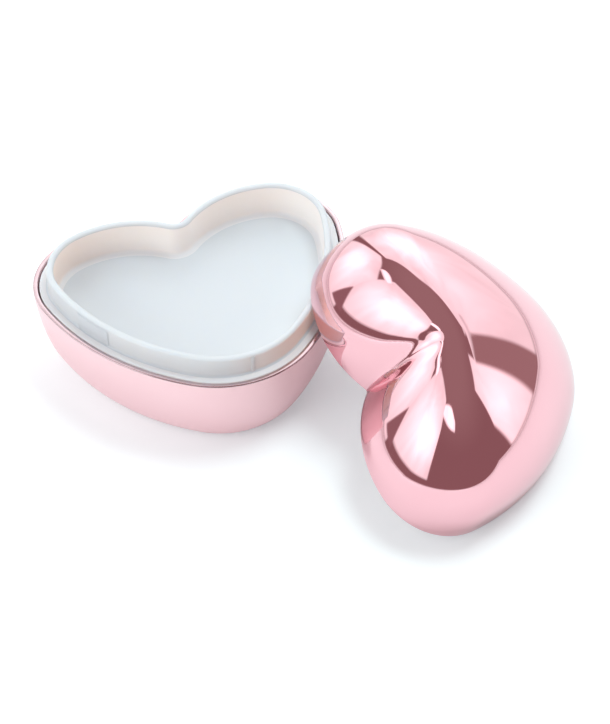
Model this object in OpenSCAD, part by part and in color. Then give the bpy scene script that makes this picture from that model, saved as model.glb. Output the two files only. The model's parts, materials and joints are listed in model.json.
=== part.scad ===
/* [Heart outline] */
// Width of the base across its rim
heart_w = 120; // [114:0.5:126]
// Length of the base over its rim, from tip to lobes
heart_l = 96.6; // [93:0.2:100]
// Distance of the lobes' centres behind the origin
lobe_y = 21; // [18:0.5:24]
// Radius of the lobes on the tray collar
lobe_r = 21.4; // [20:0.2:23]
// Angle at which the shoulder runs into the lobe
shoulder_angle = 75; // [65:1:82]
// Radius of the shoulder between cleft and lobe
shoulder_r = 39.5; // [34:0.5:46]
// Radius of the fillet in the cleft of the collar
cleft_r = 4.9; // [3.5:0.1:7]
// Sharpest cleft fillet on any outline
cleft_least = 1.2; // [0.8:0.1:2]
// Radius of the long flank
flank_r = 88; // [78:1:110]
// Radius of the rounded tip
tip_r = 33; // [28:1:36]

/* [Base shell] */
// Height of the base up to its rim
base_h = 36; // [34:0.5:44]
// How far the rim stands out from the tray collar
rim_out = 5.6; // [4.8:0.1:7]
// Wall of both pink shells
shell_wall = 1.8; // [1.4:0.1:2.2]
// How far the bowl draws in between rim and floor
bowl_inset = 13; // [10:0.5:15]
// Fullness of the bowl near the rim
bowl_upper = 1.65; // [1.3:0.05:2.4]
// Fullness of the bowl near the floor
bowl_lower = 2.2; // [1.6:0.1:3]
// Thickness of the base's floor
floor_t = 2; // [1.6:0.1:3]

/* [Lid] */
// Height of the domed lid
lid_h = 41.2; // [38:0.1:44]
// How far the lid's rim stands out from the collar
lid_out = 4.2; // [4:0.1:5]
// Height of the upright skirt at the lid's rim
skirt_h = 1.8; // [1.7:0.1:3]
// Fullness of the dome's sides near the rim
side_low = 2.85; // [2:0.05:3.2]
// Fullness of the dome's sides near the top
side_high = 2.25; // [1.6:0.05:2.6]
// Fullness of the dome's front and back near the rim
front_low = 1.5; // [1.45:0.05:2.2]
// Fullness of the dome's front and back near the top
front_high = 1.95; // [1.6:0.05:2.4]
// Middle line point that the dome rises towards
dome_y = 16.7; // [10:0.1:20]
// How quickly the cleft fades up the dome
cleft_fade = 9; // [6:0.5:14]
// Direction the lid is turned to
lid_turn = 89; // [80:0.5:100]
// Compass direction of the line the lid tips about
lid_tip_line = 33.2; // [30:0.1:45]
// Share of the rim's span, up from its lowest point, at which it lies on the collar
lid_rest = 0.92; // [0.9:0.01:0.95]
// Distance of the lid's middle to the right of the base
lid_away = 11.5; // [11:0.1:16]
// Distance of the lid's middle before the base
lid_before = 12.1; // [12:0.1:18]
// Wall of the seat ring inside the lid
ring_wall = 1.4; // [1:0.1:1.5]
// Height of the seat ring
ring_h = 3.6; // [2.5:0.1:4]
// Play between the seat ring and the collar
ring_play = 0.25; // [0.15:0.05:0.4]

/* [Tray] */
// Height of the collar above the rim
collar_h = 7.6; // [5:0.2:11]
// Thickness of the collar
collar_wall = 2.6; // [2:0.1:3.2]
// Depth of the tray below the top of the collar
tray_depth = 14.2; // [10:0.2:16]
// Thickness of the tray's floor
tray_floor_t = 1.6; // [1.2:0.1:2.2]
// Radius between the tray's floor and its wall
tray_fillet = 2; // [1:0.1:3]
// How far the flange lies below the rim
flange_drop = 0.4; // [0.2:0.1:1]
// Thickness of the flange
flange_t = 1.6; // [1.2:0.1:2.4]
// Open seam between the flange and the shell
seam = 0.5; // [0.3:0.05:0.9]
// Width of the rib at the tip of the collar
rib_w = 1.7; // [1.2:0.1:2.4]
// How far ribs and pads stand out from the collar
rib_out = 0.4; // [0.2:0.05:0.7]
// Length of the shallow pads on the flanks
pad_w = 15.5; // [8:0.5:18]
// Place of the pads between lobe and tip
pad_place = 0.35; // [0.25:0.05:0.6]

/* [Bottom cover] */
// Thickness of the bottom cover
cover_t = 2; // [1.6:0.1:3]
// How far the cover's edge lies inside the floor's edge
cover_in = 5; // [4:0.5:6]
// Width of the ledge that carries the cover
ledge_w = 2.5; // [2:0.1:4]
// Play round the cover
cover_play = 0.25; // [0.15:0.05:0.5]
// Radius of the well that holds the key
well_r = 14; // [13:0.5:14.5]
// Clear height of the key well
well_h = 7.6; // [7:0.2:9]
// Wall of the key well
well_wall = 1.4; // [1.2:0.1:2]
// Radius of the screws' shanks
screw_r = 1; // [0.8:0.1:1.2]

/* [Winding] */
// Sideways place of the winding arbor
arbor_x = -14.5; // [-15:0.25:-14]
// Forward place of the winding arbor
arbor_y = 3; // [2.5:0.25:4]
// Radius of the winding arbor
arbor_r = 1.5; // [1.2:0.1:1.8]
// Running clearance of every shaft in its bearing
run_fit = 0.05; // [0.02:0.01:0.1]
// Span of the winding key's wings
key_span = 24; // [18:1:26]
// Height of the key's wings
key_h = 5.4; // [4:0.2:6]
// Thickness of the key's wings
key_t = 1.8; // [1.4:0.1:2.4]

/* [Movement] */
// Thickness of the bedplate
bed_t = 2; // [1.6:0.1:2.6]
// Teeth of the crown wheel on the spring barrel
crown_teeth = 36; // [30:2:40]
// Teeth of the gear that the crown wheel drives
drive_teeth = 18; // [16:1:20]
// Tooth module of that pair
drive_module = 0.625; // [0.55:0.005:0.65]
// Radius of the spring barrel
barrel_r = 9.2; // [8:0.1:9.4]
// Height of the spring barrel
barrel_h = 11; // [9:0.5:13]
// Radius of the pinned cylinder
drum_r = 5.3; // [4.6:0.1:5.4]
// Height of the cylinder's pins
pin_h = 0.55; // [0.4:0.05:0.7]
// Number of comb teeth
notes = 18; // [12:1:20]
// Spacing of the comb teeth
note_pitch = 0.92; // [0.85:0.01:1]
// Thickness of the comb
comb_t = 0.9; // [0.7:0.05:1.2]
// Teeth of the governor's driving gear
governor_teeth = 40; // [32:1:44]
// Teeth of the governor's pinion
pinion_teeth = 10; // [9:1:12]
// Tooth module of that pair
pinion_module = 0.3; // [0.26:0.01:0.32]
// Teeth of the wheel that drives the worm
worm_teeth = 24; // [20:1:26]
// Tooth module of worm and wheel
worm_module = 0.35; // [0.3:0.01:0.36]
// Radius of the air brake's wings
fly_r = 3.6; // [3:0.1:3.8]

/* [Hidden] */
$fn = 48;
small = 0.01;
through = 1;
press_fit = 0.02;
side_gap = 0.4;
slot_w = 0.5;

// ---- heart outline ----
lobe_x = heart_w / 2 - lobe_r - rim_out;
tip_y = lobe_y + lobe_r + rim_out - heart_l + rim_out + tip_r;
lobe = [lobe_x, lobe_y];
tip = [0, tip_y];
shoulder = lobe - (shoulder_r - lobe_r) * [cos(shoulder_angle), sin(shoulder_angle)];
lobe_to_tip = tip - lobe;
tip_dir = lobe_to_tip / norm(lobe_to_tip);
flank_lobe = flank_r - lobe_r;
flank_tip = flank_r - tip_r;
flank_along = (pow(flank_lobe, 2) - pow(flank_tip, 2) + pow(norm(lobe_to_tip), 2)) / (2 * norm(lobe_to_tip));
flank_up = sqrt(pow(flank_lobe, 2) - pow(flank_along, 2));
flank = lobe + flank_along * tip_dir + flank_up * [tip_dir[1], -tip_dir[0]];
lobe_end = atan2(lobe[1] - flank[1], lobe[0] - flank[0]);
tip_start = atan2(tip[1] - flank[1], tip[0] - flank[0]);

// Steps along cleft, shoulder, lobe, flank and tip
heart_steps = [3, 6, 11, 9, 4];

function arc(centre, r, from, to, steps, first = 1) =
    [for (i = [first:steps]) let (a = from + (to - from) * i / steps) centre + r * [cos(a), sin(a)]];
function cleft_fillet(off) = max(cleft_r - off, cleft_least);
function cleft_centre(off, fillet) =
    [0, shoulder[1] + sqrt(pow(shoulder_r + off + fillet, 2) - pow(shoulder[0], 2))];
function half_heart(off, fillet) = let (
        c = cleft_centre(off, fillet),
        turn = atan2(c[1] - shoulder[1], -shoulder[0]))
    concat(
        arc(c, fillet, -90, turn - 180, heart_steps[0], 0),
        arc(shoulder, shoulder_r + off, turn, shoulder_angle, heart_steps[1]),
        arc(lobe, lobe_r + off, shoulder_angle, lobe_end, heart_steps[2]),
        arc(flank, flank_r + off, lobe_end, tip_start, heart_steps[3]),
        arc(tip, tip_r + off, tip_start, -90, heart_steps[4]));
// The outline moved outwards by off, clockwise from the cleft; soften eases the cleft
function heart(off, soften = 0) = let (h = half_heart(off, cleft_fillet(off) + soften))
    concat(h, [for (i = [len(h) - 2:-1:1]) [-h[i][0], h[i][1]]]);
function at_height(outline, z) = [for (p = outline) [p[0], p[1], z]];

// ---- lofts: a stack of rings, capped at both ends or joined end to end ----
module loft(rings, closed = false) {
    n = len(rings[0]);
    m = len(rings);
    sides = [for (i = [0:closed ? m - 1 : m - 2], j = [0:n - 1])
        let (a = i * n + j, b = i * n + (j + 1) % n, c = ((i + 1) % m) * n + j, d = ((i + 1) % m) * n + (j + 1) % n)
        each [[b, a, c], [b, c, d]]];
    caps = closed ? [] : [[for (j = [0:n - 1]) j], [for (j = [n - 1:-1:0]) (m - 1) * n + j]];
    polyhedron([for (r = rings) each r], concat(sides, caps));
}

module heart_ring(outer, inner, z, h) {
    translate([0, 0, z]) linear_extrude(h) difference() {
        polygon(heart(outer));
        polygon(heart(inner));
    }
}

// ---- shared places ----
cover_edge = rim_out - bowl_inset - cover_in;
cover_top = cover_t;
ledge_edge = cover_edge - ledge_w;
rim_in = rim_out - shell_wall;
tray_z = base_h + collar_h - tray_depth;
tray_under = tray_z - tray_floor_t;
flange_z = base_h - flange_drop;
flange_edge = rim_in - seam;

cover_boss_r = 3;
cover_boss_h = 8;
cover_boss_in = ledge_edge + 0.5;
cover_boss_at = [for (s = [-1, 1]) each [
    [s * (lobe_x + (lobe_r + cover_boss_in) * cos(20)), lobe_y + (lobe_r + cover_boss_in) * sin(20)],
    [s * (tip_r + cover_boss_in) * sin(35), tip_y - (tip_r + cover_boss_in) * cos(35)]]];

post_r = 3.2;
post_in = -9;
post_at = [for (s = [-1, 1]) each [
    [s * (lobe_x + (lobe_r + post_in) * cos(55)), lobe_y + (lobe_r + post_in) * sin(55)],
    [s * (tip_r + post_in) * sin(42), tip_y - (tip_r + post_in) * cos(42)]]];
peg_r = 1.5;
peg_h = 6;

// ---- base shell ----
bowl_steps = 13;
function bowl_ring(a, out, z0, h) =
    at_height(heart(out - bowl_inset * (1 - pow(cos(a), 2 / bowl_lower))), z0 - h * pow(sin(a), 2 / bowl_upper));

module base_shell() {
    outside = [for (i = [0:bowl_steps]) bowl_ring(90 * i / bowl_steps, rim_out, base_h, base_h)];
    ledge = [
        at_height(heart(cover_edge), 0),
        at_height(heart(cover_edge), cover_top),
        at_height(heart(ledge_edge), cover_top),
        at_height(heart(ledge_edge), cover_top + floor_t),
        at_height(heart(cover_edge + shell_wall), cover_top + floor_t),
        at_height(heart(cover_edge + shell_wall), floor_t)];
    inside = [for (i = [bowl_steps - 1:-1:0]) bowl_ring(90 * i / (bowl_steps - 1), rim_in, base_h, base_h - floor_t)];
    color("pink") difference() {
        union() {
            loft(concat(outside, ledge, inside), closed = true);
            for (p = cover_boss_at) translate([p[0], p[1], cover_top]) cylinder(r = cover_boss_r, h = cover_boss_h);
            for (p = post_at) translate([p[0], p[1], floor_t - small])
                cylinder(r = post_r, h = tray_under - floor_t + small);
        }
        for (p = cover_boss_at) translate([p[0], p[1], cover_top - small])
            cylinder(r = screw_r + run_fit, h = cover_boss_h - 1);
        for (p = post_at) translate([p[0], p[1], tray_under - peg_h]) cylinder(r = peg_r + run_fit, h = peg_h + 1);
    }
}

// ---- tray ----
lip_r = 1;
foot_fillet = 0.9;
lip_steps = 3;

module collar_pads() {
    translate([0, 0, flange_z - small]) {
        linear_extrude(collar_h - lip_r) intersection() {
            polygon(heart(rib_out));
            translate([-rib_w / 2, tip_y - tip_r - rib_out - 1]) square([rib_w, 3]);
        }
        linear_extrude(collar_h - lip_r) for (s = [0, 1]) intersection() {
            polygon(heart(rib_out));
            mirror([s, 0]) translate(flank) rotate(lobe_end + (tip_start - lobe_end) * pad_place)
                translate([flank_r - collar_wall / 2, -pad_w / 2]) square([collar_wall, pad_w]);
        }
    }
}

module tray() {
    wall_in = -collar_wall;
    top = base_h + collar_h;
    rings = concat(
        [for (i = [0:lip_steps]) let (a = 90 * i / lip_steps)
            at_height(heart(wall_in - tray_fillet * (1 - sin(a))), tray_z + tray_fillet * (1 - cos(a)))],
        [for (i = [0:lip_steps]) let (a = 90 * i / lip_steps)
            at_height(heart(wall_in + lip_r * (1 - cos(a))), top - lip_r * (1 - sin(a)))],
        [for (i = [0:lip_steps]) let (a = 90 * i / lip_steps)
            at_height(heart(-lip_r * (1 - sin(a))), top - lip_r * (1 - cos(a)))],
        [for (i = [0:lip_steps - 1]) let (a = 90 * i / lip_steps)
            at_height(heart(foot_fillet * (1 - cos(a))), flange_z + foot_fillet * (1 - sin(a)))],
        [at_height(heart(flange_edge), flange_z),
            at_height(heart(flange_edge), flange_z - flange_t),
            at_height(heart(0), flange_z - flange_t),
            at_height(heart(0), tray_under)]);
    color("white") union() {
        loft(rings);
        collar_pads();
        for (p = post_at) translate([p[0], p[1], tray_under - peg_h + 1]) cylinder(r = peg_r, h = peg_h);
    }
}

// ---- lid ----
dome_steps = 13;
dome_tip = 0.02;
lid_in = lid_out - shell_wall;
// The dome's outline shrinks with height u (0 to 1), less across than along
function dome_k(u, low, high) = max(pow(1 - pow(u, low), 1 / high), dome_tip);
function dome_ring(out, h, u) = let (
        kx = dome_k(u, side_low, side_high),
        ky = dome_k(u, front_low, front_high),
        z = skirt_h + (h - skirt_h) * u)
    [for (p = heart(out, cleft_fade * u / (1 - u + small))) [p[0] * kx, dome_y + (p[1] - dome_y) * ky, z]];
// Places of the rim's points across the tipping line; the lid leans from its lowest one to the collar's top
rest_gap = 0.13;
uphill = [for (p = heart(lid_out)) p[0] * sin(lid_turn - lid_tip_line) + p[1] * cos(lid_turn - lid_tip_line)];
lid_lean = asin((base_h + collar_h + rest_gap) / (lid_rest * (max(uphill) - min(uphill))));
lid_x = lobe_x + lobe_r + rim_out + lid_away;
lid_y = tip_y - tip_r - rim_out - lid_before;
lid_z = -min(uphill) * sin(lid_lean);

module at_lid() {
    translate([lid_x, lid_y, lid_z]) rotate([0, 0, lid_tip_line]) rotate([lid_lean, 0, 0])
        rotate([0, 0, lid_turn - lid_tip_line]) children();
}

module lid_shell() {
    outside = [for (i = [dome_steps:-1:0]) dome_ring(lid_out, lid_h, sin(90 * i / dome_steps))];
    inside = [for (i = [0:dome_steps - 1]) dome_ring(lid_in, lid_h - shell_wall, sin(90 * i / (dome_steps - 1)))];
    rim = [at_height(heart(lid_out), 0), at_height(heart(lid_in), 0)];
    color("hotpink") at_lid() loft(concat(outside, rim, inside));
}

ring_lift = 0.3;
module lid_seat_ring() {
    color("white") at_lid() union() {
        heart_ring(ring_play + ring_wall, ring_play, ring_lift, ring_h - ring_lift);
        heart_ring(lid_in, ring_play + ring_wall / 2, ring_lift, ring_wall);
    }
}

// ---- bottom cover and its screws ----
bed_z = well_h + well_wall;
arbor = [arbor_x, arbor_y];
bed_post_r = 2.8;
bed_post_gap = 1.4;
// The third screw keeps clear of the ledge round the cleft
ledge_cleft_r = cleft_fillet(ledge_edge);
cleft_screw = cleft_centre(ledge_edge, ledge_cleft_r)
    + (ledge_cleft_r + bed_post_r + bed_post_gap) * [cos(53), -sin(53)];
bed_screw_at = [[-10, 12.5], [37, 1], cleft_screw - arbor];
head_r = 2;
head_h = 1.2;

module at_arbor(z = 0) {
    translate([arbor_x, arbor_y, z]) children();
}

module screw(length, r = screw_r) {
    difference() {
        union() {
            cylinder(r1 = head_r, r2 = r, h = head_h);
            cylinder(r = r, h = length);
        }
        translate([-head_r, -slot_w / 2, -small]) cube([2 * head_r, slot_w, slot_w]);
    }
}

module screw_hole(length, r = screw_r) {
    translate([0, 0, -small]) cylinder(r1 = head_r + 2 * run_fit, r2 = r + run_fit, h = head_h + small);
    translate([0, 0, -small]) cylinder(r = r + run_fit, h = length);
}

module bottom_cover() {
    color("mistyrose") difference() {
        union() {
            linear_extrude(cover_t) polygon(heart(cover_edge - cover_play));
            at_arbor() cylinder(r = well_r + well_wall, h = bed_z);
            at_arbor() for (p = bed_screw_at) translate(p)
                cylinder(r = bed_post_r, h = bed_z);
        }
        at_arbor(-through) cylinder(r = well_r, h = well_h + through);
        at_arbor() cylinder(r = arbor_r + side_gap, h = bed_z + through);
        at_arbor() for (p = bed_screw_at) translate(p) screw_hole(bed_z + through);
        for (p = cover_boss_at) translate(p) screw_hole(cover_t + through);
    }
}

module cover_screw(i) {
    color("silver") translate([cover_boss_at[i][0], cover_boss_at[i][1], 0]) screw(cover_boss_h);
}

module bed_screw(i) {
    p = bed_screw_at[i];
    color("silver") at_arbor() translate(p) screw(bed_z + bed_t - 0.6);
}

// ---- winding ----
key_z = 1.4;
key_hub_r = 3.2;
key_hub_h = well_h - 0.8 - key_z;

module winding_key() {
    wing_r = key_h / 2;
    color("goldenrod") at_arbor(key_z) difference() {
        union() {
            cylinder(r = key_hub_r, h = key_hub_h);
            for (s = [0, 180]) rotate([0, 0, s]) {
                translate([0, -key_t / 2, 0]) cube([key_span / 2 - wing_r, key_t, key_h]);
                translate([key_span / 2 - wing_r, key_t / 2, wing_r]) rotate([90, 0, 0])
                    cylinder(r = wing_r, h = key_t);
            }
        }
        translate([0, 0, 1]) cylinder(r = arbor_r + press_fit, h = key_hub_h);
        for (s = [-1, 1]) translate([s * (key_span / 2 - wing_r), key_t, wing_r]) rotate([90, 0, 0])
            cylinder(r = wing_r / 2, h = 2 * key_t);
    }
}

// Levels above the bedplate's underside
flange_h = 1.3;
root_depth = 1.05 * drive_module;
tip_height = 0.72 * drive_module;
crown_pitch_z = bed_t + side_gap + flange_h + root_depth;
crown_pitch_r = crown_teeth * drive_module / 2;
drive_r = drive_teeth * drive_module / 2;
drum_axis_z = crown_pitch_z + drive_r;
crown_w = 1.7;
drive_w = 1.5;
crown_top = bed_t + side_gap;
barrel_wall = 0.8;
barrel_top = crown_top + barrel_h;
cap_t = 0.8;

module at_bed(z = 0) {
    translate([arbor_x, arbor_y, bed_z + z]) children();
}

module winding_arbor() {
    color("silver") union() {
        at_arbor(key_z + 1) cylinder(r = arbor_r, h = bed_z + barrel_top + 1 - key_z - 1);
        at_bed(crown_top + flange_h + 0.3) cylinder(r = arbor_r + 0.8, h = 1);
    }
}

// One rack tooth of the crown wheel, pointing up and running outwards
module crown_tooth(half) {
    slope = tan(20);
    translate([crown_pitch_r - crown_w / 2, 0, 0]) rotate([90, 0, 90]) linear_extrude(crown_w)
        polygon([[-half - slope * root_depth, -root_depth - small], [half + slope * root_depth, -root_depth - small],
            [half - slope * tip_height, tip_height], [slope * tip_height - half, tip_height]]);
}

drive_half = PI * drive_module / 4 - 0.13;

module spring_barrel() {
    color("goldenrod") difference() {
        union() {
            at_bed(crown_top) cylinder(r = crown_pitch_r + crown_w / 2 + 0.2, h = flange_h);
            at_bed(crown_top) cylinder(r = barrel_r, h = barrel_h);
            at_bed(crown_pitch_z) for (i = [0:crown_teeth - 1]) rotate([0, 0, 360 * i / crown_teeth])
                crown_tooth(drive_half);
        }
        at_bed(crown_top + flange_h) cylinder(r = barrel_r - barrel_wall, h = barrel_h);
        at_bed() cylinder(r = arbor_r + run_fit, h = barrel_h);
    }
}

module barrel_cap() {
    color("darkgoldenrod") at_bed(barrel_top - cap_t) difference() {
        cylinder(r = barrel_r - barrel_wall, h = cap_t);
        translate([0, 0, -through]) cylinder(r = arbor_r + run_fit, h = cap_t + 2 * through);
    }
}

spring_turns = 7;
spring_in = arbor_r + 1.2;
spring_out = barrel_r - barrel_wall - 0.1;
spring_t = 0.28;
function spiral(r0, r1, turns, n) =
    [for (i = [0:n]) let (a = 360 * turns * i / n, r = r0 + (r1 - r0) * i / n) r * [cos(a), sin(a)]];

module mainspring() {
    steps = spring_turns * 20;
    band = concat(
        spiral(spring_in, spring_out - spring_t, spring_turns, steps),
        [for (i = [steps:-1:0]) spiral(spring_in + spring_t, spring_out, spring_turns, steps)[i]]);
    color("slategray") at_bed(crown_top + flange_h + 1.5)
        linear_extrude(barrel_h - flange_h - cap_t - 1.8) polygon(band);
}

// ---- gears ----
function involute(rb, r) = let (t = sqrt(max(pow(r / rb, 2) - 1, 0))) t * 180 / PI - atan(t);
function flank_point(side, a, rb, r, half) = let (b = a + side * (half - involute(rb, r))) r * [cos(b), sin(b)];
module gear2d(teeth, module_, play, turn = 0) {
    rp = teeth * module_ / 2;
    rb = rp * cos(20);
    root = rp - 1.15 * module_;
    tip_r_ = rp + 0.72 * module_;
    low = max(rb, root + small);
    half = 90 / teeth - play / rp * 90 / PI + involute(rb, rp);
    radii = [low, (low + rp) / 2, rp, (rp + tip_r_) / 2, tip_r_];
    polygon([for (i = [0:teeth - 1]) let (a = turn + 360 * i / teeth) each concat(
        [root * [cos(a - half), sin(a - half)]],
        [for (r = radii) flank_point(-1, a, rb, r, half)],
        [for (k = [4:-1:0]) flank_point(1, a, rb, radii[k], half)],
        [root * [cos(a + half), sin(a + half)]])]);
}

// Turns a shape drawn on XY so that it stands round the cylinder's axis
module on_cylinder(x, y = 0) {
    at_bed(drum_axis_z) translate([x, y, 0]) rotate([90, 0, 90]) children();
}

drum_arbor_r = 0.75;
drive_x = crown_pitch_r - drive_w / 2;
post_t = 1.2;
post_a_x = crown_pitch_r + crown_w / 2 + 0.5;
drum_x = post_a_x + post_t + side_gap;
drum_l = notes * note_pitch + 1;
post_b_x = drum_x + drum_l + side_gap;
governor_gear_x = post_b_x + post_t + side_gap;
governor_gear_w = 1;

module drive_gear() {
    color("gold") on_cylinder(drive_x) difference() {
        linear_extrude(drive_w) gear2d(drive_teeth, drive_module, 0.26, -90 + 180 / drive_teeth);
        translate([0, 0, -through]) cylinder(r = drum_arbor_r + press_fit, h = drive_w + 2 * through);
    }
}

module governor_gear() {
    color("gold") on_cylinder(governor_gear_x) difference() {
        linear_extrude(governor_gear_w) gear2d(governor_teeth, pinion_module, 0.12, 0);
        translate([0, 0, -through]) cylinder(r = drum_arbor_r + press_fit, h = governor_gear_w + 2 * through);
    }
}

// The tune: which of the steps round the cylinder has a pin for note i
pin_steps = 24;
pin_r = 0.18;
function has_pin(i, k) = (i * 7 + k * 5 + floor(k / 4) * i) % 11 < 2;

module pinned_cylinder() {
    color("gold") on_cylinder(drum_x) difference() {
        union() {
            cylinder(r = drum_r, h = drum_l);
            for (i = [0:notes - 1], k = [0:pin_steps - 1]) if (has_pin(i, k))
                rotate([0, 0, 360 * k / pin_steps]) translate([0, 0, 0.5 + note_pitch * (i + 0.5)]) rotate([0, 90, 0])
                    cylinder(r = pin_r, h = drum_r + pin_h, $fn = 16);
        }
        translate([0, 0, -through]) cylinder(r = drum_arbor_r + press_fit, h = drum_l + 2 * through);
    }
}

module cylinder_arbor() {
    from = drive_x - 0.3;
    color("silver") on_cylinder(from) cylinder(r = drum_arbor_r, h = governor_gear_x + governor_gear_w + 0.3 - from);
}

// ---- bedplate ----
comb_y = drum_r + pin_h + 0.25;
bass_l = 9;
treble_l = 5.6;
comb_back = comb_y + bass_l + 3.4;
seat_y = comb_y + bass_l - 1;
comb_x = drum_x + 0.5;
comb_w = notes * note_pitch;
bed_left = -crown_pitch_r - 2;
pinion_r = pinion_teeth * pinion_module / 2;
governor_y = governor_teeth * pinion_module / 2 + pinion_r;
wheel_r = worm_teeth * worm_module / 2;
worm_pitch = PI * worm_module;
worm_turns = 4;
worm_eccentric = 0.25;
worm_core_r = 0.75;
worm_r = worm_core_r + worm_eccentric;
worm_y = governor_y + wheel_r + worm_r;
frame_t = 0.8;
frame_a_x = governor_gear_x + governor_gear_w + 0.6;
wheel_w = 1.1;
wheel_x = frame_a_x + frame_t + 0.7;
frame_b_x = wheel_x + wheel_w + 0.7;
worm_x = wheel_x + wheel_w / 2;
bed_right = frame_b_x + frame_t + 0.8;
worm_pivot_r = 0.4;
comb_screw_at = [[comb_x + comb_w * 0.28, comb_back - 1.9], [comb_x + comb_w * 0.78, comb_back - 1.9]];

module bed_outline() {
    polygon([[bed_left, bed_left], [crown_pitch_r, bed_left], [crown_pitch_r + 3, -8], [post_b_x, -8],
        [bed_right, -3], [bed_right, comb_back + 0.6], [bed_left + 4, comb_back + 0.6], [bed_left, comb_back - 4]]);
}

bearing_r = 2.4;
module bearing_post(x) {
    translate([x, -bearing_r, bed_t - small]) cube([post_t, 2 * bearing_r, drum_axis_z - bed_t + small]);
    translate([x, 0, drum_axis_z]) rotate([0, 90, 0]) cylinder(r = bearing_r, h = post_t);
}

module bedplate() {
    color("lightslategray") difference() {
        union() {
            at_bed() linear_extrude(bed_t) bed_outline();
            at_bed() bearing_post(post_a_x);
            at_bed() bearing_post(post_b_x);
            at_bed(bed_t - small) translate([comb_x - 0.3, seat_y, 0])
                cube([comb_w + 0.6, comb_back + 0.4 - seat_y, drum_axis_z - comb_t / 2 - bed_t + small]);
        }
        at_bed(-1) cylinder(r = arbor_r + run_fit, h = bed_t + 2);
        on_cylinder(post_a_x - 1) cylinder(r = drum_arbor_r + run_fit, h = post_t + 2);
        on_cylinder(post_b_x - 1) cylinder(r = drum_arbor_r + run_fit, h = post_t + 2);
        at_bed(bed_t - 0.8) translate([worm_x, worm_y, 0]) cylinder(r = worm_pivot_r + run_fit, h = 2);
        at_bed(-1) for (p = bed_screw_at) translate(p) cylinder(r = screw_r + run_fit, h = bed_t + 0.6);
        at_bed(drum_axis_z - comb_t / 2 - comb_screw_l) for (p = comb_screw_at) translate(p)
            cylinder(r = comb_screw_r + run_fit, h = comb_screw_l + through);
        at_bed(bed_t - frame_screw_in) translate(frame_screw_at)
            cylinder(r = frame_screw_r + run_fit, h = frame_screw_in + through);
    }
}

// ---- comb ----
function tooth_l(i) = bass_l + (treble_l - bass_l) * i / (notes - 1);
tooth_gap = 0.2;

module comb() {
    color("silver") at_bed(drum_axis_z - comb_t / 2) difference() {
        union() {
            linear_extrude(comb_t) polygon([[comb_x, comb_y + bass_l], [comb_x + comb_w, comb_y + treble_l],
                [comb_x + comb_w, comb_back], [comb_x, comb_back]]);
            for (i = [0:notes - 1]) translate([comb_x + i * note_pitch + tooth_gap / 2, comb_y, 0.2])
                cube([note_pitch - tooth_gap, tooth_l(i) + 1, comb_t - 0.4]);
        }
        for (p = comb_screw_at) translate([p[0], p[1], -through]) cylinder(r = comb_hole_r, h = comb_t + 2 * through);
    }
}

comb_screw_r = 0.8;
comb_screw_l = 4.5;
comb_hole_r = 1.1;
comb_head_r = 1.6;
comb_head_h = 1;
lead_count = 8;
lead_margin = 0.06;
lead_first = 1.6;
lead_step = 0.12;
lead_w = 1.8;
module comb_leads() {
    color("dimgray") at_bed(drum_axis_z - comb_t / 2 + 0.2) for (i = [0:lead_count - 1])
        let (h = lead_first - lead_step * i)
            translate([comb_x + i * note_pitch + tooth_gap / 2 + lead_margin, comb_y + 0.8, -h])
            cube([note_pitch - tooth_gap - 2 * lead_margin, lead_w, h]);
}

module comb_screw(i) {
    p = comb_screw_at[i];
    color("goldenrod") at_bed(drum_axis_z + comb_t / 2) translate(p) difference() {
        union() {
            cylinder(r = comb_head_r, h = comb_head_h);
            translate([0, 0, -comb_screw_l]) cylinder(r = comb_screw_r, h = comb_screw_l + small);
        }
        translate([-comb_head_r - small, -slot_w / 2, comb_head_h - 0.4]) cube([3 * comb_head_r, slot_w, through]);
    }
}

// ---- governor ----
frame_screw_at = [(frame_a_x + frame_b_x + frame_t) / 2, 3.4];
frame_screw_r = 0.6;
frame_screw_in = 1.4;
frame_head_r = 1.05;
frame_head_h = 0.6;
foot_t = 0.8;
frame_top = drum_axis_z + wheel_r + 1.2;

module governor_frame() {
    foot_y = 0.8;
    cheek_y = governor_y - 2.2;
    color("goldenrod") at_bed() difference() {
        union() {
            translate([frame_a_x, foot_y, bed_t]) cube([frame_b_x + frame_t - frame_a_x, 4.2, foot_t]);
            for (x = [frame_a_x, frame_b_x]) {
                translate([x, cheek_y - 1.6, bed_t]) cube([frame_t, 3.2, frame_top - bed_t]);
                translate([x, cheek_y - 1.6, drum_axis_z - 2]) cube([frame_t, 4.6, frame_top - drum_axis_z + 2]);
            }
            translate([frame_a_x, cheek_y - 1.6, frame_top - small])
                cube([frame_b_x + frame_t - frame_a_x, worm_y + 1.6 - cheek_y + 1.6, 0.8]);
        }
        for (x = [frame_a_x, frame_b_x]) translate([x - 1, governor_y, drum_axis_z]) rotate([0, 90, 0])
            cylinder(r = worm_pivot_r + run_fit, h = frame_t + 2);
        translate([worm_x, worm_y, frame_top - 1]) cylinder(r = worm_pivot_r + run_fit, h = 3);
        translate(frame_screw_at) cylinder(r = frame_screw_r + run_fit, h = bed_t + foot_t + through);
    }
}

module governor_screw() {
    color("silver") at_bed(bed_t + foot_t) translate(frame_screw_at) difference() {
        union() {
            cylinder(r = frame_head_r, h = frame_head_h);
            translate([0, 0, -foot_t - frame_screw_in + run_fit])
                cylinder(r = frame_screw_r, h = foot_t + frame_screw_in);
        }
        translate([-frame_head_r, -slot_w / 4, frame_head_h / 2]) cube([2 * frame_head_r, slot_w / 2, through]);
    }
}

module governor_pinion() {
    from = governor_gear_x - 0.1;
    to = frame_b_x + frame_t + 0.2;
    color("silver") on_cylinder(from, governor_y) union() {
        linear_extrude(governor_gear_w + 0.2)
            gear2d(pinion_teeth, pinion_module, 0.12, 180 + 180 / pinion_teeth);
        cylinder(r = worm_pivot_r, h = to - from);
    }
}

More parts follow.
